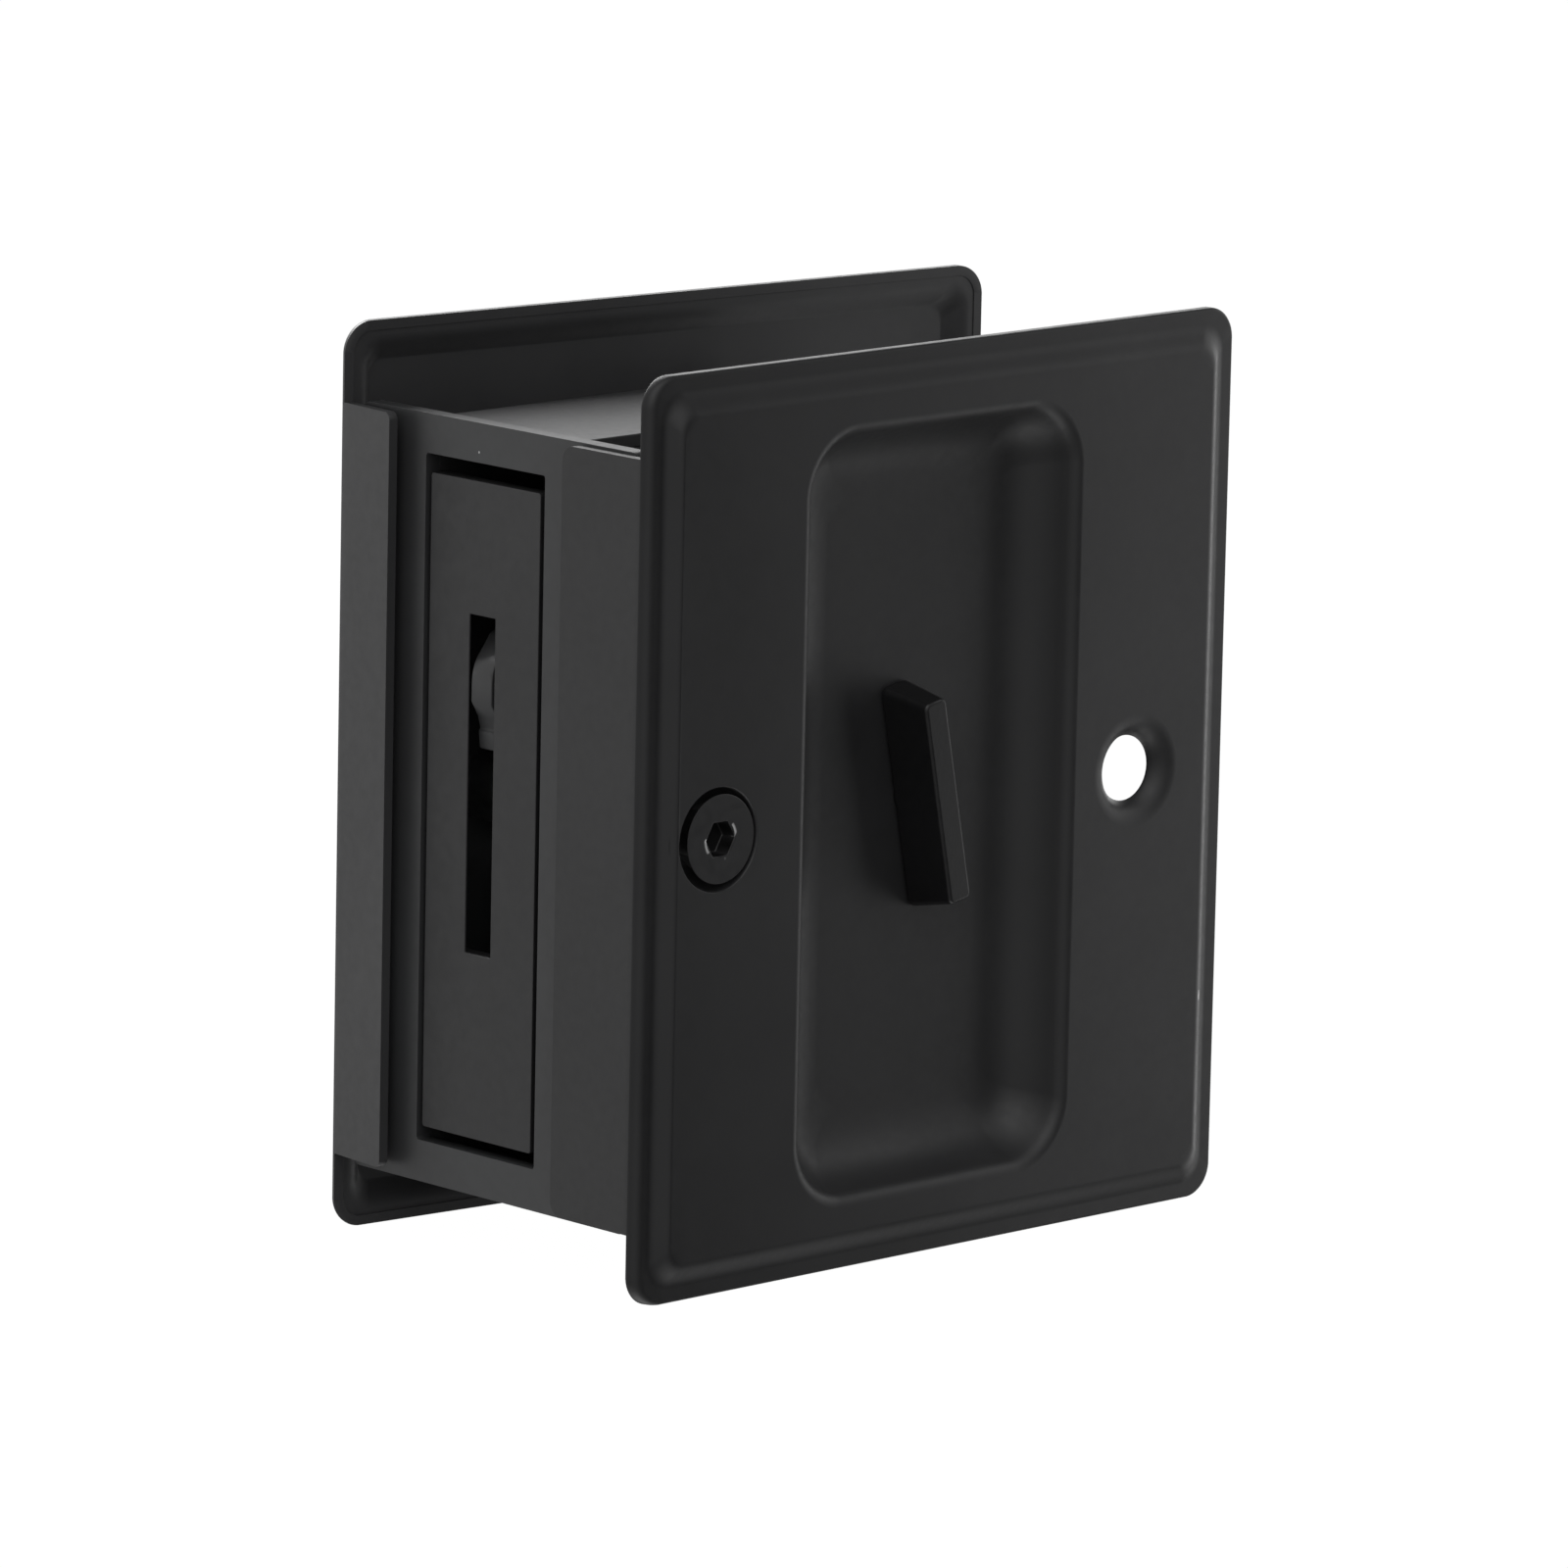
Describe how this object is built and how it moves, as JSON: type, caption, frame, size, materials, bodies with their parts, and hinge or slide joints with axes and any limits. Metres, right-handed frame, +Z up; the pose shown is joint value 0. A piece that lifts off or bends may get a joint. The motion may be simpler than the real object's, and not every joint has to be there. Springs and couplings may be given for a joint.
{
  "type": "pocket door privacy lock",
  "caption": "Matte black pocket door privacy lock with pressed cup cover, thumb turn, edge pull plate and hooked bolt that swings out of the door edge",
  "frame": {"origin": "front lower corner of the door edge the lock fits: door edge plane, turn side door face, covers' lower edge", "axes": "+X into the door from its edge, +Y from the turn side to the other side, +Z up"},
  "size_m": [0.0731, 0.0433, 0.0825],
  "materials": {
    "black_sheet": "matte black powder coat on pressed steel",
    "black_casting": "satin black coated casting",
    "black_screw": "black oxide screw",
    "bright_steel": "plain zinc plated steel",
    "spring_steel": "spring steel"
  },
  "bodies": {
    "lock": {"front_cover": "black_sheet", "cover_screw_front": "black_screw", "cover_screw_back": "black_screw", "sleeve": "bright_steel", "face_plate": "black_sheet", "case_wall": "black_sheet", "case_side_front": "black_sheet", "case_side_back": "black_sheet", "case_rivets": "black_screw", "bolt_pivot": "bright_steel", "pivot_spacers": "bright_steel", "pull_pin": "bright_steel", "pull_spring": "spring_steel", "detent_spring": "spring_steel"},
    "other_cover": {"back_cover": "black_sheet"},
    "turn": {"turn_blade": "black_casting", "turn_collar": "bright_steel", "turn_washer": "bright_steel", "spindle": "bright_steel", "release_tip": "black_casting"},
    "hub": {"hub": "bright_steel"},
    "bolt": {"hook_bolt": "black_sheet", "bolt_sector": "bright_steel", "sector_rivets": "bright_steel"},
    "pull": {"edge_pull": "black_sheet"}
  },
  "joints": [
    {"name": "turn_spin", "type": "hinge", "parent": "lock", "child": "turn", "pos_m": [0.0362, 0, 0.04127], "axis": [0, 1, 0], "range_deg": [0, 90]},
    {"name": "hub_spin", "type": "hinge", "parent": "lock", "child": "hub", "pos_m": [0.0362, 0.0212, 0.04127], "axis": [0, 1, 0], "range_deg": [0, 90], "deforming": ["detent_spring"]},
    {"name": "bolt_swing", "type": "hinge", "parent": "lock", "child": "bolt", "pos_m": [0.014, 0.0213, 0.0344], "axis": [0, 1, 0], "range_deg": [-74.12, 0]},
    {"name": "pull_flip", "type": "hinge", "parent": "lock", "child": "pull", "pos_m": [0.007, 0.0213, 0.01975], "axis": [0, 1, 0], "range_deg": [-50, 0], "stiffness_Nm_per_rad": 0.004, "springref_deg": 34.38},
    {"name": "cover_straighten", "type": "hinge", "parent": "lock", "child": "other_cover", "pos_m": [0, 0.0386, 0.04127], "axis": [0, 0, 1], "range_deg": [0, 6]}
  ],
  "couplings": [
    {"joint": "hub_spin", "follows": "turn_spin", "ratio": 1},
    {"joint": "bolt_swing", "follows": "turn_spin", "ratio": -0.82353}
  ]
}
